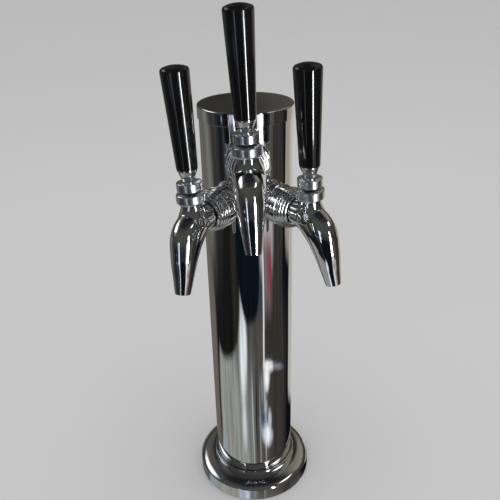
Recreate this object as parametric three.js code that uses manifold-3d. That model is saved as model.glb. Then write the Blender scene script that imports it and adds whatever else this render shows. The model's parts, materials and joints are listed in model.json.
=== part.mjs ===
// Three-faucet draft beer tower: a chromed column on a screwed-down flange, with
// three lever faucets clamped to shanks that pass through the column wall.
// Millimetres, +Z up, front towards -Y. The column's axis is the design origin;
// the finished group is shifted so that z = 0 is the bar top and x = y = 0 is the
// centre of the bounding box.
import * as THREE from "three";
import * as BufferGeometryUtils from "three/addons/utils/BufferGeometryUtils.js";
import Module from "manifold-3d";

const wasm = await Module();
wasm.setup();

// ---------------------------------------------------------------- dimensions
const FINE = 40; // facets round the column-sized pieces
const MEDIUM = 24; // facets round the flange and its gasket
const RINGED = 18; // facets round the chrome rings and nuts
const SMALL = 14; // facets round the faucet-sized pieces
const TINY = 10; // facets round holes and hidden pieces

const GAP = 0.3; // running gap between pieces that touch
const NUDGE = 0.5; // how far a cutting tool overshoots the face it cuts

const COLUMN_R = 44.45; // 3.5 in tube
const COLUMN_WALL = 1.6;
const COLUMN_BORE_R = COLUMN_R - COLUMN_WALL;
const CAP_TOP_Z = 443;
const CAP_R = 45.7;
const CAP_SKIRT = 12.4;
const CAP_DISC = 3.5;

const GASKET_THICK = 2;
const FLANGE_R = 62;
const FLANGE_THICK = 6;
const FLANGE_HOLE_R = 37.5;
const COVER_R = 65; // rim radius of the flange cover
const COVER_RIM_Z = 14;
const COVER_COLLAR_R = 47.3;
const COVER_COLLAR_Z = 24.3;
const COVER_WALL = 1.5;
const SCREW_COUNT = 4;
const SCREW_CIRCLE_R = 53.6;
const SCREW_R = 2.6;
const SCREW_HEAD_R = 4.8;

const CENTRE_SHANK_Z = 402;
const SIDE_SHANK_Z = 356.3;

// Distances along a shank, measured outwards from the column's axis.
const SHANK_R = 11;
const SHANK_BORE_R = 4;
const SHANK_HEAD_R = 14.3;
const SHANK_HEAD_U = 55.2;
const SEAT_RECESS_R = 9.4;
const COLLAR_FACE_U = 49.3;
const NUT_R = 19.4;
const NUT_FACE_U = 61.5;
// Ribs of the nut's neck: [radius, where the rib ends].
const NUT_RIBS = [[18.8, 64.6], [18.3, 67.4], [17.2, 70.2], [15.6, 72.9]];
const NUT_NECK_BORE_R = 13.6;
const BODY_REAR_U = 56.9;
const LEVER_U = 89.5; // axis of bonnet, lever and handle

// Heights above the shank's axis, at the lever.
const PIVOT_Z = 13; // centre of the lever's ball
const BONNET_BOTTOM_Z = 17.2;
const BONNET_TOP_Z = 26.8;
const BONNET_R = 12.8;
const LEVER_COLLAR_Z = 29.5;
const LEVER_COLLAR_TOP_Z = 36.7;
const LEVER_COLLAR_R = 11.2;
const FERRULE_Z = 38.1;
const HANDLE_Z = 48.4;
const HANDLE_TOP_Z = 130.2;
const HANDLE_CROWN = 3.4;
const HANDLE_BOTTOM_R = 9.2;
const HANDLE_TOP_R = 12.2;

// Spout and elbow sections: [u, z, radius in the plane of the bend, radius across].
const BODY_SECTIONS = [
  [58, 0, 12.6, 12.6],
  [74, 0, 13.2, 12.8],
  [88, -1.5, 14.8, 13.4],
  [100.8, -9.8, 16.6, 13.6],
  [108.6, -26, 13.2, 11.8],
  [113.5, -43, 9.6, 9.4],
  [117.5, -58, 7.1, 7.1],
];
const SPOUT_WALL = 1.9;

// ---------------------------------------------------------------- materials
const metal = (color, roughness) => new THREE.MeshStandardMaterial({ color, roughness, metalness: 1 });
const plastic = (color, roughness) => new THREE.MeshStandardMaterial({ color, roughness, metalness: 0 });
const CHROME = metal(0xc9cbce, 0.08);
const STEEL = metal(0x9a9c9e, 0.35);
const BRASS = metal(0xb08d4a, 0.3);
const BLACK_PLASTIC = plastic(0x08080a, 0.12);
const RUBBER = plastic(0x1a1a1a, 0.85);
const NYLON = plastic(0xe6e2d6, 0.5);

// ---------------------------------------------------------------- solids
// Keeps position only, merges shared vertices and turns the faces outwards.
function closed(geometry) {
  const bare = geometry.clone();
  bare.deleteAttribute("normal");
  bare.deleteAttribute("uv");
  const merged = BufferGeometryUtils.mergeVertices(bare, 1e-4);
  if (signedVolume(merged) < 0) {
    const index = merged.getIndex();
    for (let i = 0; i < index.count; i += 3) {
      const first = index.getX(i);
      index.setX(i, index.getX(i + 1));
      index.setX(i + 1, first);
    }
  }
  return merged;
}

function signedVolume(geometry) {
  const position = geometry.getAttribute("position");
  const index = geometry.getIndex();
  const [a, b, c] = [new THREE.Vector3(), new THREE.Vector3(), new THREE.Vector3()];
  let volume = 0;
  for (let i = 0; i < index.count; i += 3) {
    a.fromBufferAttribute(position, index.getX(i));
    b.fromBufferAttribute(position, index.getX(i + 1));
    c.fromBufferAttribute(position, index.getX(i + 2));
    volume += a.dot(b.cross(c)) / 6;
  }
  return volume;
}

function toSolid(geometry) {
  const merged = closed(geometry);
  return new wasm.Manifold(new wasm.Mesh({
    numProp: 3,
    vertProperties: new Float32Array(merged.getAttribute("position").array),
    triVerts: new Uint32Array(merged.getIndex().array),
  }));
}

function toGeometry(solid) {
  const mesh = solid.getMesh();
  const geometry = new THREE.BufferGeometry();
  geometry.setAttribute("position", new THREE.BufferAttribute(new Float32Array(mesh.vertProperties), 3));
  geometry.setIndex(new THREE.BufferAttribute(new Uint32Array(mesh.triVerts), 1));
  return geometry;
}

const union = (...geometries) => toGeometry(
  geometries.map(toSolid).reduce((sum, next) => sum.add(next)));

const cut = (geometry, ...tools) => toGeometry(
  tools.map(toSolid).reduce((rest, tool) => rest.subtract(tool), toSolid(geometry)));

const common = (a, b) => toGeometry(toSolid(a).intersect(toSolid(b)));

// A body of revolution about Z. The profile lists [radius, z] and either starts and
// ends on the axis or closes on itself.
function turned(profile, segments = SMALL) {
  const points = profile.map(([r, z]) => new THREE.Vector2(r, z));
  return closed(new THREE.LatheGeometry(points, segments).rotateX(Math.PI / 2));
}

// A solid turned piece: its profile is closed onto the axis at both ends.
function turnedSolid(profile, segments) {
  const first = profile[0][1];
  const last = profile[profile.length - 1][1];
  return turned([[0, first], ...profile, [0, last]], segments);
}

// A ring: its profile closes on itself.
const turnedRing = (profile, segments) => turned([...profile, profile[0]], segments);

// The same pieces lying along the shank: profile [radius, u].
const alongShank = (geometry) => geometry.clone().rotateY(Math.PI / 2);

const rod = (r, from, to, segments = TINY) => turnedSolid([[r, from], [r, to]], segments);

const ring = (inner, outer, from, to, segments) =>
  turnedRing([[inner, from], [outer, from], [outer, to], [inner, to]], segments);

// Points on an arc in a profile, from angle a to angle b in degrees.
function arc(centreR, centreZ, radius, a, b, steps) {
  return Array.from({ length: steps + 1 }, (_, i) => {
    const angle = THREE.MathUtils.degToRad(a + (b - a) * i / steps);
    return [centreR + radius * Math.cos(angle), centreZ + radius * Math.sin(angle)];
  });
}

// A hexagonal nut along Z, whose faceted hole clears a shaft of the given radius.
function hexNut(cornerR, shaftR, from, to) {
  const holeR = (shaftR + GAP) / Math.cos(Math.PI / TINY);
  const shape = new THREE.Shape();
  for (let i = 0; i < 6; i += 1) {
    const angle = i * Math.PI / 3;
    const point = [cornerR * Math.cos(angle), cornerR * Math.sin(angle)];
    if (i === 0) shape.moveTo(...point);
    else shape.lineTo(...point);
  }
  shape.closePath();
  const hole = new THREE.Path();
  hole.absarc(0, 0, holeR, 0, 2 * Math.PI, true);
  shape.holes.push(hole);
  const options = { depth: to - from, bevelEnabled: false, curveSegments: TINY / 2 };
  return closed(new THREE.ExtrudeGeometry(shape, options).translate(0, 0, from));
}

// A tapered, bent solid through elliptical sections [u, z, radius in plane, radius
// across], with flat ends. The sections are blended by smooth curves.
function horn(sections, steps, around) {
  const axis = new THREE.CatmullRomCurve3(sections.map(([u, z]) => new THREE.Vector3(u, 0, z)));
  const radii = new THREE.CatmullRomCurve3(sections.map(([, , a, b]) => new THREE.Vector3(a, b, 0)));
  const positions = [];
  for (let i = 0; i <= steps; i += 1) {
    const t = i / steps;
    const centre = axis.getPoint(t);
    const tangent = axis.getTangent(t);
    const size = radii.getPoint(t);
    const inPlane = new THREE.Vector3(-tangent.z, 0, tangent.x);
    for (let j = 0; j < around; j += 1) {
      const angle = 2 * Math.PI * j / around;
      const point = centre.clone().addScaledVector(inPlane, size.x * Math.cos(angle));
      positions.push(point.x, size.y * Math.sin(angle), point.z);
    }
  }
  return closed(skinRings(positions, steps + 1, around));
}

// Joins consecutive rings of vertices into one closed skin with flat ends.
function skinRings(positions, rings, around) {
  const triangles = [];
  for (let i = 0; i < rings - 1; i += 1) {
    for (let j = 0; j < around; j += 1) {
      const a = i * around + j;
      const b = i * around + (j + 1) % around;
      triangles.push(a, b, a + around, b, b + around, a + around);
    }
  }
  const last = (rings - 1) * around;
  for (let j = 1; j < around - 1; j += 1) {
    triangles.push(0, j + 1, j);
    triangles.push(last, last + j, last + j + 1);
  }
  const geometry = new THREE.BufferGeometry();
  geometry.setAttribute("position", new THREE.Float32BufferAttribute(positions, 3));
  geometry.setIndex(triangles);
  return geometry;
}

// ---------------------------------------------------------------- scene graph
const tower = new THREE.Group();

function add(parent, name, geometry, material, place = {}) {
  const mesh = new THREE.Mesh(geometry, material);
  mesh.name = name;
  mesh.position.set(place.x ?? 0, place.y ?? 0, place.z ?? 0);
  parent.add(mesh);
  return mesh;
}

// ---------------------------------------------------------------- tower
const FLANGE_Z = GASKET_THICK + GAP;
const FLANGE_TOP_Z = FLANGE_Z + FLANGE_THICK;
const COLUMN_TOP_Z = CAP_TOP_Z - CAP_DISC - GAP;

// In degrees: azimuth off the front, and the lean that its tightened nut gave each faucet.
const FAUCETS = [
  { name: "left", azimuth: -33.2, lean: 4.1, height: SIDE_SHANK_Z },
  { name: "centre", azimuth: 0, lean: 2.2, height: CENTRE_SHANK_Z },
  { name: "right", azimuth: 37.3, lean: 3.1, height: SIDE_SHANK_Z },
];

// Turn about Z from +X, where the faucet pieces are made, to an azimuth off -Y.
const headingOf = (azimuth) => THREE.MathUtils.degToRad(azimuth - 90);

// Turns a piece made along +X to a faucet's azimuth and shank height.
const towardsFaucet = (geometry, { azimuth, height }) =>
  geometry.clone().rotateZ(headingOf(azimuth)).translate(0, 0, height);

function columnTube() {
  const tube = ring(COLUMN_BORE_R, COLUMN_R, FLANGE_TOP_Z + GAP, COLUMN_TOP_Z, FINE);
  const drill = alongShank(rod(SHANK_R + GAP, COLUMN_BORE_R - 10, COLUMN_R + 5, SMALL));
  return cut(tube, ...FAUCETS.map((faucet) => towardsFaucet(drill, faucet)));
}

function screwPlaces() {
  return Array.from({ length: SCREW_COUNT }, (_, i) => {
    const angle = Math.PI / 4 + i * 2 * Math.PI / SCREW_COUNT;
    return { x: SCREW_CIRCLE_R * Math.cos(angle), y: SCREW_CIRCLE_R * Math.sin(angle) };
  });
}

// A steel plate with a spigot that locates and welds to the column's foot.
function baseFlange() {
  const spigotR = COLUMN_BORE_R - GAP;
  const plate = turnedRing([
    [FLANGE_HOLE_R, FLANGE_Z],
    [FLANGE_R, FLANGE_Z],
    [FLANGE_R, FLANGE_TOP_Z],
    [spigotR, FLANGE_TOP_Z],
    [spigotR, FLANGE_TOP_Z + 10],
    [FLANGE_HOLE_R, FLANGE_TOP_Z + 10],
  ], MEDIUM);
  const drill = rod(SCREW_R + GAP, 0, FLANGE_TOP_Z + NUDGE, 8);
  return cut(plate, ...screwPlaces().map(({ x, y }) => drill.clone().translate(x, y, 0)));
}

function baseGasket() {
  const sheet = ring(FLANGE_HOLE_R, FLANGE_R, 0, GASKET_THICK, MEDIUM);
  const drill = rod(SCREW_R + GAP, -NUDGE, GASKET_THICK + NUDGE, 8);
  return cut(sheet, ...screwPlaces().map(({ x, y }) => drill.clone().translate(x, y, 0)));
}

// Slotted pan-head screw; the point below the bar top is left out.
function baseScrew() {
  const headZ = FLANGE_TOP_Z + GAP;
  const body = turnedSolid([
    [SCREW_R, GAP],
    [SCREW_R, headZ],
    [SCREW_HEAD_R, headZ],
    [SCREW_HEAD_R, headZ + 1.6],
    [SCREW_HEAD_R - 1.8, headZ + 3],
  ], TINY);
  const slot = new THREE.BoxGeometry(5.2, 1.1, 2).translate(0, 0, headZ + 3);
  return cut(body, slot);
}

// The spun cover: a collar round the column, a crowned skirt and an upright rim.
// It is one sheet, so the inside follows the outside at the wall's thickness.
function flangeCover() {
  const crown = new THREE.QuadraticBezierCurve(
    new THREE.Vector2(COVER_COLLAR_R + 0.4, COVER_COLLAR_Z - 4.2),
    new THREE.Vector2(COVER_COLLAR_R + 11.5, COVER_COLLAR_Z - 3.2),
    new THREE.Vector2(COVER_R - 0.7, COVER_RIM_Z + 0.8));
  const outside = [
    ...arc(COVER_COLLAR_R - 0.8, COVER_COLLAR_Z - 0.8, 0.8, 90, 0, 1),
    ...crown.getPoints(3).map(({ x, y }) => [x, y]),
    [COVER_R, COVER_RIM_Z],
    [COVER_R, GAP],
  ];
  const inside = [
    [COVER_R - COVER_WALL, GAP],
    [COVER_R - COVER_WALL, COVER_RIM_Z - 0.8],
    ...crown.getPoints(2).reverse().map(({ x, y }) => [x - 0.9, y - COVER_WALL]).slice(1, -1),
    [COLUMN_R + GAP + 0.2, COVER_COLLAR_Z - 5.4],
    [COLUMN_R + GAP + 0.2, COVER_COLLAR_Z],
  ];
  return turnedRing([...outside, ...inside], FINE);
}

// Top disc, outer skirt that covers the tube's edge, and an inner boss whose
// groove holds the O-ring.
function towerCap() {
  const under = CAP_TOP_Z - CAP_DISC;
  const grooveR = COLUMN_BORE_R - 3.4;
  const lipR = COLUMN_BORE_R - 0.8;
  return turnedSolid([
    ...arc(CAP_R - 1.2, CAP_TOP_Z - 1.2, 1.2, 90, 0, 1),
    [CAP_R, CAP_TOP_Z - CAP_SKIRT],
    [COLUMN_R + GAP, CAP_TOP_Z - CAP_SKIRT],
    [COLUMN_R + GAP, under],
    [grooveR, under],
    [grooveR, under - 8.5],
    [lipR, under - 8.5],
    [lipR, under - 10.5],
    [grooveR - 2.5, under - 10.5],
    [grooveR - 2.5, under],
  ], FINE);
}

function capORing() {
  const section = 1.35;
  const centreR = COLUMN_BORE_R - GAP - section;
  const centreZ = CAP_TOP_Z - CAP_DISC - 5.5;
  return turnedRing(arc(centreR, centreZ, section, 0, 300, 5), MEDIUM);
}

function buildTower() {
  add(tower, "base_gasket", baseGasket(), RUBBER);
  add(tower, "base_flange", baseFlange(), STEEL);
  add(tower, "column_tube", columnTube(), CHROME);
  const screw = baseScrew();
  screwPlaces().forEach((place, i) => add(tower, `base_screw_${i + 1}`, screw, STEEL, place));
  add(tower, "flange_cover", flangeCover(), CHROME);
  add(tower, "tower_cap", towerCap(), CHROME);
  add(tower, "cap_o_ring", capORing(), RUBBER);
}

// ---------------------------------------------------------------- shank parts
const SHANK_TAIL_U = 27;
const STUB_R = 6.5;
const STUB_END_U = 21;

// Threaded tube through the column wall. Its head takes the coupling nut and its
// recess gives the seat washer room to move back.
function shank() {
  return alongShank(turnedRing([
    [SHANK_BORE_R, STUB_END_U],
    [STUB_R, STUB_END_U],
    [STUB_R, SHANK_TAIL_U],
    [SHANK_R, SHANK_TAIL_U],
    [SHANK_R, COLLAR_FACE_U + GAP],
    [SHANK_HEAD_R, COLLAR_FACE_U + GAP],
    [SHANK_HEAD_R, SHANK_HEAD_U],
    [SEAT_RECESS_R, SHANK_HEAD_U],
    [SEAT_RECESS_R, 44.2],
    [SHANK_BORE_R, 42],
  ]));
}

// Stepped chrome collar whose rear face is hollowed to sit on the column.
function shankFlange() {
  const blank = alongShank(turnedRing([
    [SHANK_R + GAP, 36],
    [17.6, 36],
    [17.6, 46.4],
    [18.8, 46.8],
    [18.8, 48.4],
    [17.6, COLLAR_FACE_U],
    [SHANK_R + GAP, COLLAR_FACE_U],
  ], RINGED));
  return cut(blank, rod(COLUMN_R + GAP, -30, 30, 80));
}

// Moulded shim inside the column: round at the front to fit the bore, flat behind.
function saddleWasher() {
  const blank = alongShank(ring(SHANK_R + GAP, 16.2, 38.3, 44, SMALL));
  return common(blank, rod(COLUMN_BORE_R - GAP, -30, 30, FINE));
}

const shankNut = () => alongShank(hexNut(16.2, SHANK_R, 30, 38));

// Cap nut that holds the tailpiece's flange against the shank's stub.
function tailNut() {
  const lip = alongShank(ring(4.2, 7.5, 17.5, 18.8, TINY));
  const hex = alongShank(hexNut(9.2, STUB_R, 17.5, 26.2));
  return union(hex, lip);
}

// Barbed elbow for the beer hose: a flange inside the nut, then a bend down.
function tailpiece() {
  const bendR = 7;
  const bendU = 15.5;
  const path = new THREE.CurvePath();
  const elbow = new THREE.QuadraticBezierCurve3(
    new THREE.Vector3(bendU, 0, 0),
    new THREE.Vector3(bendU - bendR, 0, 0),
    new THREE.Vector3(bendU - bendR, 0, -bendR));
  path.add(new THREE.LineCurve3(new THREE.Vector3(20.6, 0, 0), new THREE.Vector3(bendU, 0, 0)));
  path.add(elbow);
  path.add(new THREE.LineCurve3(elbow.v2.clone(), new THREE.Vector3(bendU - bendR, 0, -24)));
  const tube = new THREE.Shape().absarc(0, 0, 3.6, 0, 2 * Math.PI, false);
  tube.holes.push(new THREE.Path().absarc(0, 0, 2.4, 0, 2 * Math.PI, true));
  const options = { steps: 9, extrudePath: path, curveSegments: 4 };
  const pipe = new THREE.ExtrudeGeometry(tube, options);
  const flange = alongShank(ring(2.9, 6.2, 19.1, 20.6, TINY));
  const barb = (z) => turnedRing([[3.1, z], [3.4, z], [4.4, z + 3.4], [3.1, z + 3.4]], TINY)
    .translate(bendU - bendR, 0, 0);
  return union(pipe, flange, barb(-23), barb(-18));
}

// ---------------------------------------------------------------- faucet parts
// Outline of the ribs on the nut's neck, each one behind a narrow groove.
function nutRibs() {
  let start = NUT_FACE_U;
  return NUT_RIBS.flatMap(([radius, end]) => {
    const outline = [[radius - 0.9, start], [radius, start + 0.5], [radius, end - 0.4]];
    start = end;
    return outline;
  });
}

// Chrome ring nut with a groove, a lip inside that pulls the body's flange on, and a
// ribbed neck round the body.
function couplingNut() {
  const rear = COLLAR_FACE_U + GAP;
  const groove = (u) => [[NUT_R, u], [NUT_R - 1, u + 0.5], [NUT_R, u + 1]];
  return alongShank(turnedRing([
    [SHANK_HEAD_R + GAP, rear],
    [NUT_R - 1.2, rear],
    [NUT_R, rear + 0.8],
    ...groove(53),
    [NUT_R, NUT_FACE_U - 0.5],
    ...nutRibs(),
    [NUT_NECK_BORE_R, NUT_RIBS.at(-1)[1]],
    [NUT_NECK_BORE_R, NUT_FACE_U],
    [13, NUT_FACE_U],
    [13, 59.9],
    [SHANK_HEAD_R + GAP, 59.9],
  ], RINGED));
}

const faucetWasher = () => alongShank(ring(10, 14, 55.5, 56.6, TINY));

// The beer's way down the spout, from inside the elbow to just past the mouth.
function waterway() {
  const inside = (radius) => Math.min(radius, 9) - SPOUT_WALL;
  const sections = BODY_SECTIONS.slice(3).map(([u, z, a, b]) => [u, z, inside(a), inside(b)]);
  sections[0][0] -= 4;
  return horn([...sections, [118.6, -62, 5.2, 5.2]], 5, TINY);
}

// Forged body: rear flange, elbow and spout, with a neck for the bonnet. It is bored
// from the back for the shaft, from above for the lever and from the tip for beer.
function faucetBody() {
  const rear = alongShank(turnedSolid([
    [14.2, BODY_REAR_U],
    [14.2, 59.6],
    [12.7, 59.6],
    [12.7, 64],
  ]));
  const neck = turnedSolid([
    [14, 3],
    [12.2, 8.5],
    [10.2, 13],
    [9.6, 16.4],
    [9.4, 16.8],
    [9.4, 22.4],
  ]).translate(LEVER_U, 0, 0);
  const outside = union(horn(BODY_SECTIONS, 9, SMALL), rear, neck);
  const rearBore = alongShank(turnedSolid([
    [6.3, BODY_REAR_U - NUDGE],
    [6.3, 60],
    [7, 60.7],
    [7, 99],
  ], TINY));
  const leverBore = turnedSolid([
    [5.4, 0],
    [5.4, 8.4],
    [7.2, 10.4],
    [7.2, 22.4 + NUDGE],
  ], TINY).translate(LEVER_U, 0, 0);
  return cut(outside, rearBore, leverBore, waterway());
}

// Plunger worked by the lever's tip; the seat washer is held on its rear end.
function faucetShaft() {
  const blank = alongShank(turnedSolid([
    [4.4, 50.6],
    [4.4, 52.9],
    [2.6, 52.9],
    [2.6, 57],
    [3.2, 57],
    [3.2, 80],
    [6.2, 82.5],
    [6.2, 97],
  ], TINY));
  const pocket = rod(3.8, -8, 8).translate(LEVER_U, 0, 0);
  const slot = new THREE.BoxGeometry(10.2, 6.2, 7.4).translate(LEVER_U + 1, 0, 5.2);
  return cut(blank, pocket, slot);
}

const seatWasher = () => alongShank(ring(2.9, 8, 53.2, 56.6, TINY));

// Ring nut over the body's neck that traps the lever's ball.
function bonnet() {
  const round = 2.5;
  return turnedRing([
    [9.7, BONNET_BOTTOM_Z],
    [10.8, BONNET_BOTTOM_Z],
    [BONNET_R, BONNET_BOTTOM_Z + 2],
    ...arc(BONNET_R - round, BONNET_TOP_Z - round, round, 0, 90, 3),
    [8.8, BONNET_TOP_Z],
    [8.8, 22.9],
    [9.7, 22.9],
  ], RINGED).translate(LEVER_U, 0, 0);
}

// One turned piece: tip, ball, neck and the stud that takes collar and ferrule.
function lever() {
  return turnedSolid([
    ...arc(0, 0, 3.4, -72, 42, 2),
    [2.4, 3.4],
    [2.4, 7],
    ...arc(0, PIVOT_Z, 6.5, -68, 60, 4),
    [2.8, PIVOT_Z + 6.4],
    [2.8, 28.8],
    [4.5, 30],
    [4.5, 59],
    [3.7, 60],
  ], TINY).translate(LEVER_U, 0, 0);
}

// Lock collar with a dished underside, which clears the bonnet as it tips.
function leverCollar() {
  return turnedRing([
    [4.8, LEVER_COLLAR_Z + 1.2],
    [9.4, LEVER_COLLAR_Z + 1.2],
    [10.2, LEVER_COLLAR_Z],
    [LEVER_COLLAR_R - 0.3, LEVER_COLLAR_Z],
    [LEVER_COLLAR_R, LEVER_COLLAR_Z + 0.3],
    [LEVER_COLLAR_R, LEVER_COLLAR_TOP_Z - 0.8],
    [LEVER_COLLAR_R - 0.8, LEVER_COLLAR_TOP_Z],
    [7.6, LEVER_COLLAR_TOP_Z + 0.9],
    [4.8, LEVER_COLLAR_TOP_Z + 1.1],
  ], RINGED).translate(LEVER_U, 0, 0);
}

// Tapered chrome ferrule, wide end up, threaded on the stud.
function ferrule() {
  return turnedRing([
    [4.8, FERRULE_Z],
    [5.4, FERRULE_Z],
    [5.7, FERRULE_Z + 1.4],
    [HANDLE_BOTTOM_R - 0.5, HANDLE_Z - 1.2],
    [HANDLE_BOTTOM_R - 0.5, HANDLE_Z - GAP],
    [4.8, HANDLE_Z - GAP],
  ]).translate(LEVER_U, 0, 0);
}

// Tapered black handle with a crowned top and a blind hole for the stud.
function handle() {
  const crownR = HANDLE_TOP_R - 1.4;
  const crown = new THREE.QuadraticBezierCurve(
    new THREE.Vector2(crownR, HANDLE_TOP_Z + 1.2),
    new THREE.Vector2(crownR * 0.55, HANDLE_TOP_Z + HANDLE_CROWN),
    new THREE.Vector2(0, HANDLE_TOP_Z + HANDLE_CROWN));
  const blank = turned([
    [0, HANDLE_Z],
    [HANDLE_BOTTOM_R - 0.5, HANDLE_Z],
    [HANDLE_BOTTOM_R, HANDLE_Z + 0.6],
    [HANDLE_TOP_R, HANDLE_TOP_Z - 1.5],
    [HANDLE_TOP_R - 0.4, HANDLE_TOP_Z + 0.3],
    ...crown.getPoints(3).map(({ x, y }) => [x, y]),
  ]);
  return cut(blank, rod(4.8, HANDLE_Z - NUDGE, 62)).translate(LEVER_U, 0, 0);
}

const SHANK_PIECES = [
  ["shank", shank(), STEEL],
  ["shank_flange", shankFlange(), CHROME],
  ["saddle_washer", saddleWasher(), NYLON],
  ["shank_nut", shankNut(), BRASS],
  ["tailpiece", tailpiece(), STEEL],
  ["tail_nut", tailNut(), BRASS],
  ["coupling_nut", couplingNut(), CHROME],
  ["faucet_washer", faucetWasher(), RUBBER],
];

const FAUCET_PIECES = [
  ["faucet_body", faucetBody(), CHROME],
  ["bonnet", bonnet(), CHROME],
  ["shaft", faucetShaft(), BRASS],
  ["seat_washer", seatWasher(), RUBBER],
  ["lever", lever(), STEEL],
  ["lever_collar", leverCollar(), CHROME],
  ["ferrule", ferrule(), CHROME],
  ["handle", handle(), BLACK_PLASTIC],
];

// Builds one shank station, made along +X, and the faucet that leans about its axis.
function buildStation({ name, azimuth, lean, height }) {
  const station = new THREE.Group();
  station.position.z = height;
  station.rotation.z = headingOf(azimuth);
  const faucet = new THREE.Group();
  faucet.rotation.x = THREE.MathUtils.degToRad(lean);
  station.add(faucet);
  for (const [piece, geometry, material] of SHANK_PIECES) {
    add(station, `${name}_${piece}`, geometry, material);
  }
  for (const [piece, geometry, material] of FAUCET_PIECES) {
    add(faucet, `${name}_${piece}`, geometry, material);
  }
  tower.add(station);
}

buildTower();
FAUCETS.forEach(buildStation);

// Put the origin at the bottom centre of the whole tower's bounding box.
const root = new THREE.Group();
root.add(tower);
root.updateMatrixWorld(true);
const box = new THREE.Box3().setFromObject(root, true);
const centre = box.getCenter(new THREE.Vector3());
tower.position.set(-centre.x, -centre.y, -box.min.z);
root.updateMatrixWorld(true);

export default root;
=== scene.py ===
"""Looks of a three-faucet draft beer tower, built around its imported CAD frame.

Every chromed or moulded piece that shows is rebuilt as a fine mesh in the place of its
faceted CAD node. The hidden hardware keeps its CAD nodes, with better materials.
Profiles are in millimetres, as in the CAD source, and mesh_from scales them to metres.
"""

import json
import math

import bmesh
import bpy
from mathutils import Matrix, Vector


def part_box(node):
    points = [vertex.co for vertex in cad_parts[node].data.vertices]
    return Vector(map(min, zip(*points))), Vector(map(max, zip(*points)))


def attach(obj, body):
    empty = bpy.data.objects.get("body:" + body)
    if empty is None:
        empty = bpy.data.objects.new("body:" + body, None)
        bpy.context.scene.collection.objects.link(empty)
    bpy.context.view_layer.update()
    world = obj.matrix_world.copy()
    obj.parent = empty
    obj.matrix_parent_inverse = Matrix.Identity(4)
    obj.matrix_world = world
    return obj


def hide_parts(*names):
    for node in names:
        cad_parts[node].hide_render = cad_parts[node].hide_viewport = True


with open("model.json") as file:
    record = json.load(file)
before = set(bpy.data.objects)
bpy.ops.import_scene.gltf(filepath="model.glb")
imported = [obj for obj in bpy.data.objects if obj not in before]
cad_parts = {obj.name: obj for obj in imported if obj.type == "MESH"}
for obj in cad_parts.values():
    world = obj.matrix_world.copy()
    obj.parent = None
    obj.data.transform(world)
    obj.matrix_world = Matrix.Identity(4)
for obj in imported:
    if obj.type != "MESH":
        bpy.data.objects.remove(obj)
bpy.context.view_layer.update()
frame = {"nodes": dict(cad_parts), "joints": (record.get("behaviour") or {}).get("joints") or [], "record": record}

MM = 0.001
FAUCETS = ("left", "centre", "right")

# ------------------------------------------------------------------ dimensions (mm)
COLUMN_R = 44.45
COLUMN_WALL = 1.6
COLUMN_BORE_R = COLUMN_R - COLUMN_WALL
SHANK_HOLE_R = 11.3
CAP_R = 45.7
CAP_SKIRT = 12.4
CAP_DISC = 3.5
GASKET_TOP_Z = 2
FLANGE_Z = 2.3
FLANGE_TOP_Z = 8.3
FLANGE_R = 62
FLANGE_HOLE_R = 37.5
SPIGOT_R = 42.55
COVER_R = 65
COVER_RIM_Z = 14
COVER_COLLAR_R = 47.3
COVER_COLLAR_Z = 24.3
COVER_WALL = 1.5
COVER_BORE_R = 44.95
SCREW_HEAD_R = 4.8
SCREW_HOLE_R = 2.9
COLLAR_FACE_U = 49.3
NUT_R = 19.4
NUT_FACE_U = 61.5
NUT_RIBS = ((18.8, 64.6), (18.3, 67.4), (17.2, 70.2), (15.6, 72.9))  # radius, end
NUT_NECK_BORE_R = 13.6
LEVER_U = 89.5
PIVOT_Z = 13
HANDLE_Z = 48.4
HANDLE_TOP_Z = 130.2
HANDLE_BOTTOM_R = 9.2
HANDLE_TOP_R = 12.2

# Elbow and spout sections: [u, z, radius in the plane of the bend, radius across].
BODY_SECTIONS = (
    (58, 0, 12.6, 12.6),
    (74, 0, 13.2, 12.8),
    (88, -1.5, 14.8, 13.4),
    (100.8, -9.8, 16.6, 13.6),
    (108.6, -26, 13.2, 11.8),
    (113.5, -43, 9.6, 9.4),
    (117.5, -58, 7.1, 7.1),
)
SPOUT_WALL = 1.9
BODY_REAR_U = 56.9
NECK_TOP_Z = 22.4
CAST_GRID = 0.5
CAST_PASSES = 14  # rounds of smoothing
HOLE_BAND = 15  # half the height of the ring of faces that holds a shank's hole

# ------------------------------------------------------------------ places in the frame
joints = {joint["name"]: joint for joint in frame["joints"]}
column_low, column_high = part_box("column_tube")
column_axis = (column_low + column_high) / 2
CAP_TOP_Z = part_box("tower_cap")[1].z / MM
COLUMN_FOOT_Z = column_low.z / MM
COLUMN_TOP_Z = column_high.z / MM


def frame_from(origin, x_axis, y_axis, z_axis):
    """Matrix from a local frame with these axes, in metres, to the row frame."""
    turn = Matrix((x_axis, y_axis, z_axis)).transposed()
    return Matrix.Translation(origin) @ turn.to_4x4()


def faucet_place(name):
    """The leaning faucet's frame: +X outwards along the shank, +Z up along the handle."""
    pull = joints[f"{name}_lever_pull"]
    across = Vector(pull["axis"]).normalized()
    out = -Vector(joints[f"{name}_plunger_slide"]["axis"]).normalized()
    up = out.cross(across)
    origin = Vector(pull["pos_m"]) - out * LEVER_U * MM - up * PIVOT_Z * MM
    return frame_from(origin, out, across, up)


def station_place(name):
    """The shank's own upright frame, for pieces that are cut to the column."""
    leaning = faucet_place(name)
    out = leaning.col[0].to_3d()
    up = Vector((0, 0, 1))
    return frame_from(leaning.translation, out, up.cross(out), up)


TOWER_PLACE = Matrix.Translation((column_axis.x, column_axis.y, 0))


# ------------------------------------------------------------------ mesh building
def new_object(name, mesh, place=None):
    obj = bpy.data.objects.new(name, mesh)
    bpy.context.scene.collection.objects.link(obj)
    if place is not None:
        obj.matrix_world = place
    return obj


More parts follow.
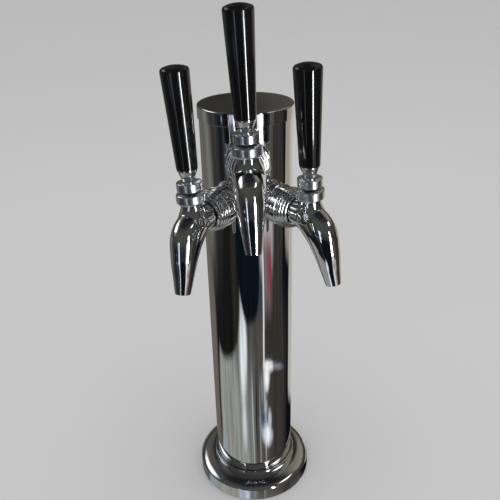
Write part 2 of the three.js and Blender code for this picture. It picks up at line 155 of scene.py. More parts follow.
def shade(mesh, sharp=32):
    """Smooth faces, with edges over the given angle left sharp."""
    mesh.polygons.foreach_set("use_smooth", [True] * len(mesh.polygons))
    mesh.set_sharp_from_angle(angle=math.radians(sharp))


def mesh_from(name, points, faces, sharp=32):
    """A mesh from points in millimetres, with its faces turned outwards."""
    work = bmesh.new()
    verts = [work.verts.new(Vector(point) * MM) for point in points]
    for face in faces:
        work.faces.new([verts[i] for i in face])
    bmesh.ops.remove_doubles(work, verts=work.verts, dist=1e-6)
    bmesh.ops.recalc_face_normals(work, faces=work.faces)
    mesh = bpy.data.meshes.new(name)
    work.to_mesh(mesh)
    work.free()
    shade(mesh, sharp)
    return mesh


def rounded(corners, closed=True, steps=4):
    """Profile points. A corner (r, z, size) is drawn as an arc that starts and ends
    that far from it, or half-way to the next corner; a corner (r, z) stays sharp."""
    points = []
    count = len(corners)
    for i, corner in enumerate(corners):
        here = Vector(corner[:2])
        if len(corner) == 2 or (not closed and i in (0, count - 1)):
            points.append(tuple(here))
            continue
        before = Vector(corners[i - 1][:2])
        after = Vector(corners[(i + 1) % count][:2])
        size = min(corner[2], (before - here).length * 0.48, (after - here).length * 0.48)
        start = here + (before - here).normalized() * size
        end = here + (after - here).normalized() * size
        for k in range(steps + 1):
            t = k / steps
            points.append(tuple(start * (1 - t) ** 2 + here * 2 * t * (1 - t) + end * t * t))
    return points


def turned(name, corners, around=96, closed=True, sharp=32, steps=4):
    """A body of revolution about Z. A closed profile makes a ring; an open one starts
    and ends on the axis."""
    profile = rounded(corners, closed, steps)
    points = []
    rows = []
    for r, z in profile:
        if r < 1e-6:
            rows.append([len(points)] * around)
            points.append((0, 0, z))
            continue
        rows.append(range(len(points), len(points) + around))
        for j in range(around):
            angle = 2 * math.pi * j / around
            points.append((r * math.cos(angle), r * math.sin(angle), z))
    pairs = list(zip(rows, rows[1:]))
    if closed:
        pairs.append((rows[-1], rows[0]))
    faces = []
    for low, high in pairs:
        for j in range(around):
            k = (j + 1) % around
            face = [low[j], low[k], high[k], high[j]]
            face = list(dict.fromkeys(face))
            if len(face) > 2:
                faces.append(face)
    return mesh_from(name, points, faces, sharp)


def solid_turned(name, corners, **options):
    """A turned piece whose profile is closed onto the axis at both ends."""
    first = (0, corners[0][1])
    last = (0, corners[-1][1])
    return turned(name, [first, *corners, last], closed=False, **options)


def moved(mesh, matrix):
    mesh.transform(matrix)
    return mesh


ALONG_SHANK = Matrix.Rotation(math.pi / 2, 4, "Y")
AT_LEVER = Matrix.Translation((LEVER_U * MM, 0, 0))


def catmull(points, t):
    """Point on a centripetal Catmull-Rom curve through the given vectors, t from 0 to 1."""
    count = len(points)
    place = min(t * (count - 1), count - 1 - 1e-9)
    i = int(place)
    part = place - i
    p1 = points[i]
    p2 = points[i + 1]
    p0 = points[i - 1] if i > 0 else 2 * p1 - p2
    p3 = points[i + 2] if i + 2 < count else 2 * p2 - p1
    d0 = max((p1 - p0).length ** 0.5, 1e-4)
    d1 = max((p2 - p1).length ** 0.5, 1e-4)
    d2 = max((p3 - p2).length ** 0.5, 1e-4)
    m1 = ((p1 - p0) / d0 - (p2 - p0) / (d0 + d1) + (p2 - p1) / d1) * d1
    m2 = ((p2 - p1) / d1 - (p3 - p1) / (d1 + d2) + (p3 - p2) / d2) * d1
    a = 2 * p1 - 2 * p2 + m1 + m2
    b = 3 * p2 - 3 * p1 - 2 * m1 - m2
    return ((a * part + b) * part + m1) * part + p1


def horn(name, sections, steps=48, around=56):
    """A tapered, bent solid through elliptical sections [u, z, r in plane, r across]."""
    centres = [Vector((u, 0, z)) for u, z, _, _ in sections]
    sizes = [Vector((a, b, 0)) for _, _, a, b in sections]
    points = []
    for i in range(steps + 1):
        t = i / steps
        centre = catmull(centres, t)
        ahead = catmull(centres, min(t + 0.005, 1))
        behind = catmull(centres, max(t - 0.005, 0))
        tangent = (ahead - behind).normalized()
        size = catmull(sizes, t)
        in_plane = Vector((-tangent.z, 0, tangent.x))
        for j in range(around):
            angle = 2 * math.pi * j / around
            point = centre + in_plane * (size.x * math.cos(angle))
            points.append((point.x, size.y * math.sin(angle), point.z))
    faces = []
    for low in range(0, steps * around, around):
        high = low + around
        for j in range(around):
            k = (j + 1) % around
            faces.append([low + j, low + k, high + k, high + j])
    faces.append(list(range(around)))
    faces.append([steps * around + j for j in range(around)])
    return mesh_from(name, points, faces)


def booleaned(name, base, steps, finish=None, sharp=32):
    """The base mesh with each (operation, mesh) applied in turn, and then the modifiers
    that the finish function adds."""
    obj = new_object(name, base)
    tools = []
    for operation, mesh in steps:
        tool = new_object(f"{name}_tool", mesh)
        tools.append(tool)
        modifier = obj.modifiers.new("boolean", "BOOLEAN")
        modifier.operation = operation
        modifier.solver = "EXACT"
        modifier.object = tool
    if finish is not None:
        finish(obj)
    depsgraph = bpy.context.evaluated_depsgraph_get()
    mesh = bpy.data.meshes.new_from_object(obj.evaluated_get(depsgraph))
    for used in [obj, *tools]:
        data = used.data
        bpy.data.objects.remove(used)
        bpy.data.meshes.remove(data)
    mesh.name = name
    shade(mesh, sharp)
    return mesh


def piece(name, mesh, material, body, place, node, weighted=True):
    """Puts a fine mesh in the place of its CAD node."""
    obj = new_object(name, mesh, place)
    if not mesh.materials:
        mesh.materials.append(material)
    if weighted:
        even = obj.modifiers.new("weighted_normals", "WEIGHTED_NORMAL")
        even.keep_sharp = True
        even.weight = 60
    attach(obj, body)
    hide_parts(node)


# ------------------------------------------------------------------ materials
def node_material(name):
    material = bpy.data.materials.new(name)
    material.use_nodes = True
    return material, material.node_tree, material.node_tree.nodes["Principled BSDF"]


def noise(tree, scale, detail, stretch=(1, 1, 1)):
    """A noise texture in object space, in features per metre."""
    place = tree.nodes.new("ShaderNodeTexCoord")
    mapping = tree.nodes.new("ShaderNodeMapping")
    mapping.inputs["Scale"].default_value = stretch
    texture = tree.nodes.new("ShaderNodeTexNoise")
    texture.inputs["Scale"].default_value = scale
    texture.inputs["Detail"].default_value = detail
    tree.links.new(place.outputs["Object"], mapping.inputs["Vector"])
    tree.links.new(mapping.outputs["Vector"], texture.inputs["Vector"])
    return texture.outputs["Fac"]


def ramp(tree, source, stops):
    """Maps a value through (position, grey or colour) stops."""
    node = tree.nodes.new("ShaderNodeValToRGB")
    elements = node.color_ramp.elements
    while len(elements) < len(stops):
        elements.new(0.5)
    for element, (position, colour) in zip(elements, stops):
        element.position = position
        grey = isinstance(colour, (int, float))
        element.color = (colour,) * 3 + (1,) if grey else (*colour, 1)
    tree.links.new(source, node.inputs["Fac"])
    return node.outputs["Color"]


def bump(tree, shader, source, distance, strength):
    """Fine relief; the distance is in metres."""
    node = tree.nodes.new("ShaderNodeBump")
    node.inputs["Distance"].default_value = distance
    node.inputs["Strength"].default_value = strength
    tree.links.new(source, node.inputs["Height"])
    tree.links.new(node.outputs["Normal"], shader.inputs["Normal"])


def chrome(name, rough_low, rough_high, tint=(0.80, 0.81, 0.83)):
    """Polished plate: faint handling smears in the gloss and a breath of colour."""
    material, tree, shader = node_material(name)
    shader.inputs["Metallic"].default_value = 1.0
    smears = noise(tree, 38, 4, (1, 1, 0.45))
    dark = tuple(0.93 * c for c in tint)
    tree.links.new(ramp(tree, smears, ((0.35, dark), (0.65, tint))), shader.inputs["Base Color"])
    tree.links.new(
        ramp(tree, smears, ((0.38, rough_low), (0.72, rough_high))), shader.inputs["Roughness"])
    bump(tree, shader, noise(tree, 160, 2), 0.00002, 0.35)
    return material


def turned_metal(name, colour, rough_low, rough_high):
    """Machined metal: fine tool marks and a mottled, slightly dulled colour."""
    material, tree, shader = node_material(name)
    shader.inputs["Metallic"].default_value = 1.0
    mottle = noise(tree, 90, 5)
    dull = tuple(0.72 * c for c in colour)
    tree.links.new(ramp(tree, mottle, ((0.3, dull), (0.7, colour))), shader.inputs["Base Color"])
    tree.links.new(
        ramp(tree, mottle, ((0.3, rough_high), (0.7, rough_low))), shader.inputs["Roughness"])
    bump(tree, shader, noise(tree, 900, 3, (1, 1, 4)), 0.00006, 0.5)
    return material


def gloss_black():
    """High-gloss phenolic: near black, with faint orange peel and wiping marks."""
    material, tree, shader = node_material("gloss_black")
    smears = noise(tree, 55, 4, (1, 1, 0.3))
    tree.links.new(
        ramp(tree, smears, ((0.35, (0.0035, 0.004, 0.0045)), (0.7, (0.007, 0.0075, 0.008)))),
        shader.inputs["Base Color"])
    tree.links.new(ramp(tree, smears, ((0.35, 0.07), (0.75, 0.15))), shader.inputs["Roughness"])
    shader.inputs["IOR"].default_value = 1.55
    bump(tree, shader, noise(tree, 420, 2), 0.00003, 0.3)
    return material


def soft_black():
    """Moulded rubber: a fine grain that also sets the colour, so painted shade darkens its hollows and its raised
    points are greyer.
    """
    material, tree, shader = node_material("rubber")
    grain = noise(tree, 700, 6)
    # painted shade: dark where the grain is low, in its hollows; greyer on its raised points
    tree.links.new(ramp(tree, grain, ((0.3, 0.012), (0.75, 0.045))), shader.inputs["Base Color"])
    tree.links.new(ramp(tree, grain, ((0.3, 0.7), (0.7, 0.9))), shader.inputs["Roughness"])
    bump(tree, shader, grain, 0.0002, 0.5)
    return material


def moulded_white():
    """Natural nylon: milky, slightly translucent and faintly mottled."""
    material, tree, shader = node_material("nylon")
    cloud = noise(tree, 120, 4)
    tree.links.new(
        ramp(tree, cloud, ((0.3, (0.66, 0.63, 0.55)), (0.7, (0.80, 0.78, 0.71)))),
        shader.inputs["Base Color"])
    tree.links.new(ramp(tree, cloud, ((0.3, 0.38), (0.7, 0.52))), shader.inputs["Roughness"])
    shader.inputs["Subsurface Weight"].default_value = 0.15
    shader.inputs["Subsurface Radius"].default_value = (0.002, 0.0018, 0.0012)
    bump(tree, shader, noise(tree, 500, 3), 0.00005, 0.4)
    return material


MIRROR = chrome("chrome_mirror", 0.015, 0.05)
SATIN = chrome("chrome_ring", 0.22, 0.28, (0.82, 0.86, 0.92))
STEEL = turned_metal("steel", (0.58, 0.59, 0.60), 0.26, 0.42)
BRASS = turned_metal("brass", (0.72, 0.53, 0.24), 0.22, 0.4)
BLACK = gloss_black()
RUBBER = soft_black()
NYLON = moulded_white()


# ------------------------------------------------------------------ tower pieces
def column_mesh():
    """The tube, with rings of faces round the shank holes and true round normals."""
    heights = {COLUMN_FOOT_Z, COLUMN_TOP_Z}
    for name in FAUCETS:
        middle = station_place(name).translation.z / MM
        heights |= {middle - HOLE_BAND, middle + HOLE_BAND}
    levels = sorted(heights)
    outside = [(COLUMN_R, z) for z in levels]
    inside = [(COLUMN_BORE_R, z) for z in reversed(levels)]
    tube = turned("column_tube_fine", outside + inside, around=160)
    drills = []
    for name in FAUCETS:
        drill = solid_turned("drill", [(SHANK_HOLE_R, 20), (SHANK_HOLE_R, 60)], around=48)
        moved(drill, TOWER_PLACE.inverted() @ station_place(name) @ ALONG_SHANK)
        drills.append(("DIFFERENCE", drill))
    mesh = booleaned("column_tube_fine", tube, drills)
    round_normals(mesh)
    return mesh


def round_normals(mesh):
    """Gives the tube's inner and outer walls the normals of true cylinders."""
    normals = [Vector(corner.vector) for corner in mesh.corner_normals]
    for face in mesh.polygons:
        flat = Vector((face.center.x, face.center.y, 0)).normalized()
        side = face.normal.dot(flat)
        if abs(side) < 0.9:
            continue
        for loop in face.loop_indices:
            co = mesh.vertices[mesh.loops[loop].vertex_index].co
            radial = Vector((co.x, co.y, 0)).normalized()
            normals[loop] = radial * (1 if side > 0 else -1)
    mesh.normals_split_custom_set(normals)


def cap_mesh():
    top = CAP_TOP_Z
    under = top - CAP_DISC
    groove_r = COLUMN_BORE_R - 3.4
    lip_r = COLUMN_BORE_R - 0.8
    return solid_turned("tower_cap_fine", [
        (36, top),
        (CAP_R, top, 1.8),
        (CAP_R, top - CAP_SKIRT, 0.4),
        (COLUMN_R + 0.3, top - CAP_SKIRT, 0.2),
        (COLUMN_R + 0.3, under),
        (groove_r, under),
        (groove_r, under - 8.5),
        (lip_r, under - 8.5, 0.4),
        (lip_r, under - 10.5, 0.4),
        (groove_r - 2.5, under - 10.5),
        (groove_r - 2.5, under),
    ], around=160)


def cover_mesh():
    """The spun cover, one sheet: collar, crowned skirt and upright rim."""
    def crown(t, inset=0.0, drop=0.0):
        a = Vector((COVER_COLLAR_R + 0.4, COVER_COLLAR_Z - 4.2))
        b = Vector((COVER_COLLAR_R + 11.5, COVER_COLLAR_Z - 3.2))
        c = Vector((COVER_R - 0.7, COVER_RIM_Z + 0.8))
        point = a * (1 - t) ** 2 + b * 2 * t * (1 - t) + c * t * t
        return (point.x - inset, point.y - drop)

    outside = [crown(i / 14) for i in range(15)]
    inside = [crown(i / 10, 0.9, COVER_WALL) for i in range(9, 0, -1)]
    return turned("flange_cover_fine", [
        (COVER_BORE_R, COVER_COLLAR_Z, 0.4),
        (COVER_COLLAR_R, COVER_COLLAR_Z, 0.9),
        *outside,
        (COVER_R, COVER_RIM_Z, 0.3),
        (COVER_R, 0.3, 0.2),
        (COVER_R - COVER_WALL, 0.3, 0.2),
        (COVER_R - COVER_WALL, COVER_RIM_Z - 0.8),
        *inside,
        (COVER_BORE_R, COVER_COLLAR_Z - 5.4),
    ], around=160, sharp=40)


def screw_places():
    """Each base screw's axis, from its CAD node."""
    for i in range(1, 5):
        low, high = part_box(f"base_screw_{i}")
        yield i, (low + high) / 2


def drilled(name, mesh):
    """Cuts the four screw holes through a plate."""
    drills = []
    for _, centre in screw_places():
        drill = solid_turned("drill", [(SCREW_HOLE_R, -1), (SCREW_HOLE_R, 20)], around=24)
        offset = centre - column_axis
        moved(drill, Matrix.Translation((offset.x, offset.y, 0)))
        drills.append(("DIFFERENCE", drill))
    return booleaned(name, mesh, drills)


def gasket_mesh():
    sheet = turned("gasket", [
        (FLANGE_HOLE_R, 0),
        (FLANGE_R, 0, 0.3),
        (FLANGE_R, GASKET_TOP_Z, 0.3),
        (FLANGE_HOLE_R, GASKET_TOP_Z),
    ], around=120)
    return drilled("base_gasket_fine", sheet)


def flange_mesh():
    plate = turned("flange", [
        (FLANGE_HOLE_R, FLANGE_Z, 0.3),
        (FLANGE_R, FLANGE_Z, 0.4),
        (FLANGE_R, FLANGE_TOP_Z, 0.6),
        (SPIGOT_R, FLANGE_TOP_Z),
        (SPIGOT_R, FLANGE_TOP_Z + 10, 0.5),
        (FLANGE_HOLE_R, FLANGE_TOP_Z + 10, 0.5),
    ], around=120)
    return drilled("base_flange_fine", plate)


def screw_mesh():
    """Pan head with a rounded edge and a driver slot, at the screw's own axis."""
    head = FLANGE_TOP_Z + 0.3
    body = solid_turned("screw", [
        (2.6, 0.3),
        (2.6, head),
        (SCREW_HEAD_R, head, 0.2),
        (SCREW_HEAD_R, head + 1.7, 0.9),
        (SCREW_HEAD_R - 1.9, head + 3.1, 1.0),
    ], around=32)
    corners = [(x, y, head + z) for x in (-6, 6) for y in (-0.55, 0.55) for z in (1.9, 4.3)]
    faces = [(0, 1, 3, 2), (4, 6, 7, 5), (0, 4, 5, 1), (2, 3, 7, 6), (0, 2, 6, 4), (1, 5, 7, 3)]
    slot = moved(mesh_from("slot", corners, faces), Matrix.Rotation(math.radians(4), 4, "Z"))
    return booleaned("base_screw_fine", body, [("DIFFERENCE", slot)])


def build_tower():
    piece("column", column_mesh(), MIRROR, "tower", TOWER_PLACE, "column_tube",
          weighted=False)
    piece("cap_shell", cap_mesh(), MIRROR, "cap", TOWER_PLACE, "tower_cap")
    piece("cover_shell", cover_mesh(), MIRROR, "cover", TOWER_PLACE, "flange_cover")
    piece("gasket", gasket_mesh(), RUBBER, "tower", TOWER_PLACE, "base_gasket")
    piece("flange", flange_mesh(), STEEL, "tower", TOWER_PLACE, "base_flange")
    screw = screw_mesh()
    for i, centre in screw_places():
        turn = Matrix.Rotation(0.9 * i, 4, "Z")  # no two slots stand alike
        place = Matrix.Translation((centre.x, centre.y, 0)) @ turn
        piece(f"screw_{i}", screw, STEEL, "tower", place, f"base_screw_{i}")


# ------------------------------------------------------------------ faucet pieces
def shank_flange_mesh():
    """Stepped collar, hollowed at the back to sit on the column."""
    blank = moved(turned("collar", [
        (SHANK_HOLE_R, 36),
        (17.6, 36),
        (17.6, 45.9, 0.3),
        (18.8, 46.5, 0.3),
        (18.8, 48.5, 0.4),
        (17.7, COLLAR_FACE_U, 0.3),
        (SHANK_HOLE_R, COLLAR_FACE_U),
    ], around=96), ALONG_SHANK)
    column = solid_turned("column", [(COLUMN_R + 0.3, -30), (COLUMN_R + 0.3, 30)], around=200)
    return booleaned("shank_flange_fine", blank, [("DIFFERENCE", column)])


def nut_ribs():
    """Outline of the ribs on the nut's neck, each one behind a narrow groove."""
    start = NUT_FACE_U
    outline = []
    for radius, end in NUT_RIBS:
        outline += [
            (radius - 1.0, start, 0.2),
            (radius, start + 0.4, 1.0),
            (radius, end - 0.4, 1.0),
        ]
        start = end
    return outline


def coupling_nut_mesh():
    return moved(turned("coupling_nut_fine", [
        (14.6, COLLAR_FACE_U + 0.3),
        (18.2, COLLAR_FACE_U + 0.3, 0.3),
        (NUT_R, 50.6, 0.4),
        (NUT_R, 52.9, 0.2),
        (18.5, 53.5, 0.25),
        (NUT_R, 54.1, 0.2),
        (NUT_R, NUT_FACE_U - 0.5, 0.4),
        *nut_ribs(),
        (NUT_NECK_BORE_R, NUT_RIBS[-1][1], 0.2),
        (NUT_NECK_BORE_R, NUT_FACE_U),
        (13, NUT_FACE_U),
        (13, 59.9),
        (14.6, 59.9),
    ], around=112), ALONG_SHANK)


def casting_mesh(mouth):
    """Elbow, spout, neck and rear end fused on a fine grid and smoothed, as a casting's
    joins are. Each end is left long, to be cut off crisply."""
    rear = moved(solid_turned("rear", [
        (14.2, 54),
        (14.2, 59.6, 0.3),
        (12.8, 59.7),
        (12.7, 66),
    ], around=64), ALONG_SHANK)
    neck = moved(solid_turned("neck", [
        (14.5, -2),
        (14, 3, 2.5),
        (12.2, 8.5, 2.5),
        (10.2, 13, 2.0),
        (9.6, 16.4, 0.3),
        (9.4, 16.8, 0.1),
        (9.4, 25),
    ], around=64), AT_LEVER)
    tip = mouth @ Vector((0, 0, 4 * MM)) / MM

    def cast(obj):
        fuse = obj.modifiers.new("fuse", "REMESH")
        fuse.mode = "VOXEL"
        fuse.voxel_size = CAST_GRID * MM
        ease = obj.modifiers.new("ease", "SMOOTH")
        ease.factor = 0.5
        ease.iterations = CAST_PASSES

    return booleaned("casting", horn("horn", [*BODY_SECTIONS, (tip.x, tip.z, 6.5, 6.5)]), [
        ("UNION", rear),
        ("UNION", neck),
    ], finish=cast)


def waterway_mesh():
    """The beer's way down the spout, from inside the elbow to just past the mouth."""
    sections = [(u, z, min(a, 9) - SPOUT_WALL, min(b, 9) - SPOUT_WALL)
                for u, z, a, b in BODY_SECTIONS[3:]]
    start_u, *start = sections[0]
    return horn("waterway", [
        (start_u - 4, *start),
        *sections[1:],
        (118.6, -62, 5.4, 5.4),
    ], 30, 40)


def body_mesh():
    """The forged body, with its ends faced and its bores for shaft, lever and beer."""
    (above_u, above_z, _, _), (mouth_u, mouth_z, _, _) = BODY_SECTIONS[-2:]
    fall = Matrix.Rotation(math.atan2(mouth_u - above_u, mouth_z - above_z), 4, "Y")
    mouth = Matrix.Translation(Vector((mouth_u, 0, mouth_z)) * MM) @ fall
    rear_end = moved(solid_turned("rear_end", [(18, 50), (18, BODY_REAR_U)]), ALONG_SHANK)
    neck_end = moved(solid_turned("neck_end", [(14, NECK_TOP_Z), (14, 30)]), AT_LEVER)
    mouth_end = moved(solid_turned("mouth_end", [(12, 0), (12, 10)]), mouth)
    rear_bore = moved(solid_turned("rear_bore", [
        (6.4, 56),
        (6.4, 60),
        (7.1, 60.7),
        (7.1, 99),
    ], around=40), ALONG_SHANK)
    lever_bore = moved(solid_turned("lever_bore", [
        (5.5, 0),
        (5.5, 8.4),
        (7.3, 10.4),
        (7.3, 23.5),
    ], around=40), AT_LEVER)
    tools = [rear_end, neck_end, mouth_end, rear_bore, lever_bore, waterway_mesh()]
    return booleaned("faucet_body_fine", casting_mesh(mouth),
                     [("DIFFERENCE", tool) for tool in tools], sharp=50)


def bonnet_mesh():
    return moved(turned("bonnet_fine", [
        (9.7, 17.2),
        (10.8, 17.2, 0.3),
        (12.8, 19.2, 0.5),
        (12.8, 26.8, 2.4),
        (8.8, 26.8, 0.4),
        (8.8, 22.9),
        (9.7, 22.9),
    ], around=96, steps=6), AT_LEVER)


def lever_mesh():
    """Tip, ball, neck and stud, turned in one piece."""
    def ball(centre, radius, low, high, steps):
        spots = [low + (high - low) * i / steps for i in range(steps + 1)]
        return [(radius * math.cos(math.radians(a)), centre + radius * math.sin(math.radians(a)))
                for a in spots]

    return moved(solid_turned("lever_fine", [
        *ball(0, 3.4, -80, 42, 10),
        (2.4, 3.4, 0.4),
        (2.4, 7),
        *ball(PIVOT_Z, 6.5, -68, 62, 14),
        (2.8, PIVOT_Z + 6.6, 0.3),
        (2.8, 28.8, 0.5),
        (4.5, 30, 0.3),
        (4.5, 59, 0.4),
        (3.7, 60),
    ], around=48), AT_LEVER)


def lever_collar_mesh():
    return moved(turned("lever_collar_fine", [
        (4.8, 30.7),
        (9.4, 30.7, 0.3),
        (10.2, 29.5, 0.2),
        (11.2, 29.5, 0.4),
        (11.2, 36.7, 0.8),
        (8.0, 37.7, 1.2),
        (4.8, 37.8, 0.3),
    ], around=96, steps=5), AT_LEVER)


def ferrule_mesh():
    low = 38.1
    return moved(turned("ferrule_fine", [
        (4.8, low),
        (5.5, low, 0.25),
        (5.8, low + 1.5, 0.6),
        (8.6, HANDLE_Z - 1.6, 0.4),
        (8.9, HANDLE_Z - 1.2, 0.15),
        (8.9, HANDLE_Z - 0.3, 0.2),
        (4.8, HANDLE_Z - 0.3),
    ], around=80), AT_LEVER)


def handle_mesh():
    """Tapered handle: a soft edge at the bottom, a crowned top and the stud's hole."""
    crown_r = HANDLE_TOP_R - 1.4
    crown = []
    for i in range(1, 9):
        t = i / 8
        r = crown_r * (1 - t) ** 2 + crown_r * 0.55 * 2 * t * (1 - t)
        z = HANDLE_TOP_Z + 1.2 * (1 - t) ** 2 + 3.4 * (2 * t * (1 - t) + t * t)
        crown.append((r, z))
    outside = [
        (0, 62),
        (4.8, 62),
        (4.8, HANDLE_Z),
        (HANDLE_BOTTOM_R, HANDLE_Z, 0.7),
        (HANDLE_TOP_R, HANDLE_TOP_Z - 0.6, 2.2),
        (crown_r, HANDLE_TOP_Z + 1.2, 0.9),
        *crown,
    ]
    return moved(turned("handle_fine", outside, around=96, closed=False, steps=8), AT_LEVER)


# Piece, mesh, material, body it rides on ({} is the faucet's name), slot, leans.
FAUCET_PIECES = (
    ("shank_flange", shank_flange_mesh(), MIRROR, "tower", "chrome", False),
    ("coupling_nut", coupling_nut_mesh(), MIRROR, "tower", "chrome", False),
    ("faucet_body", body_mesh(), MIRROR, "tower", "chrome", True),
    ("bonnet", bonnet_mesh(), SATIN, "tower", "chrome", True),
    ("lever", lever_mesh(), STEEL, "{}_lever", "steel", True),
    ("lever_collar", lever_collar_mesh(), SATIN, "{}_lever", "chrome", True),
    ("ferrule", ferrule_mesh(), MIRROR, "{}_lever", "chrome", True),
    ("handle", handle_mesh(), BLACK, "{}_lever", "black_plastic", True),
)


def build_faucets():
    for name in FAUCETS:
        leaning = faucet_place(name)
        upright = station_place(name)
        for part, mesh, material, body, slot, leans in FAUCET_PIECES:
            place = leaning if leans else upright
            piece(f"{name}_{part}_fine", mesh, material, body.format(name), place,
                  f"{name}_{part}", weighted=part != "faucet_body")


SLOT_MATERIALS = {
    "steel": STEEL,
    "brass": BRASS,
    "rubber": RUBBER,
    "nylon": NYLON,
    "chrome": MIRROR,
    "black_plastic": BLACK,
}


def dress_cad_nodes():
    """The hardware inside keeps its CAD shape and gets its slot's material."""
    for part in frame["record"]["subparts"]:
        obj = frame["nodes"][part["node"]]
        obj.data.materials.clear()
        obj.data.materials.append(SLOT_MATERIALS[part["material_slot"]])
        edge = obj.modifiers.new("eased_edges", "BEVEL")
        edge.width = 0.15 * MM
        edge.segments = 2
        edge.limit_method = "ANGLE"
        edge.angle_limit = math.radians(40)


# ------------------------------------------------------------------ camera
CAMERA_FROM_AXIS = Vector((-7.0, -567.0, 570.7))  # mm from the column's foot
CAMERA_YAW = 0.77  # degrees, like the two below
CAMERA_PITCH = 26.38
CAMERA_ROLL = -1.42
SENSOR = 36
LENS = 1.2182 * SENSOR


def build_camera():
    data = bpy.data.cameras.new("camera")
    data.sensor_width = SENSOR
    data.lens = LENS
    data.clip_start = 0.01
    data.clip_end = 100
    camera = bpy.data.objects.new("camera", data)
    bpy.context.scene.collection.objects.link(camera)
    yaw = Matrix.Rotation(math.radians(-CAMERA_YAW), 4, "Z")
    pitch = Matrix.Rotation(math.radians(90 - CAMERA_PITCH), 4, "X")
    roll = Matrix.Rotation(math.radians(CAMERA_ROLL), 4, "Z")
    foot = Vector((column_axis.x, column_axis.y, 0))
    camera.matrix_world = Matrix.Translation(foot + CAMERA_FROM_AXIS * MM) @ yaw @ pitch @ roll
    bpy.context.scene.camera = camera


# ------------------------------------------------------------------ studio
FLOOR_RADIUS = 12.0  # metres
FLOOR_GAP = 0.0002  # metres, which keeps the floor clear of the gasket
FLOOR_GREY = 0.53

SURROUND = (0.95, 0.95, 0.95)

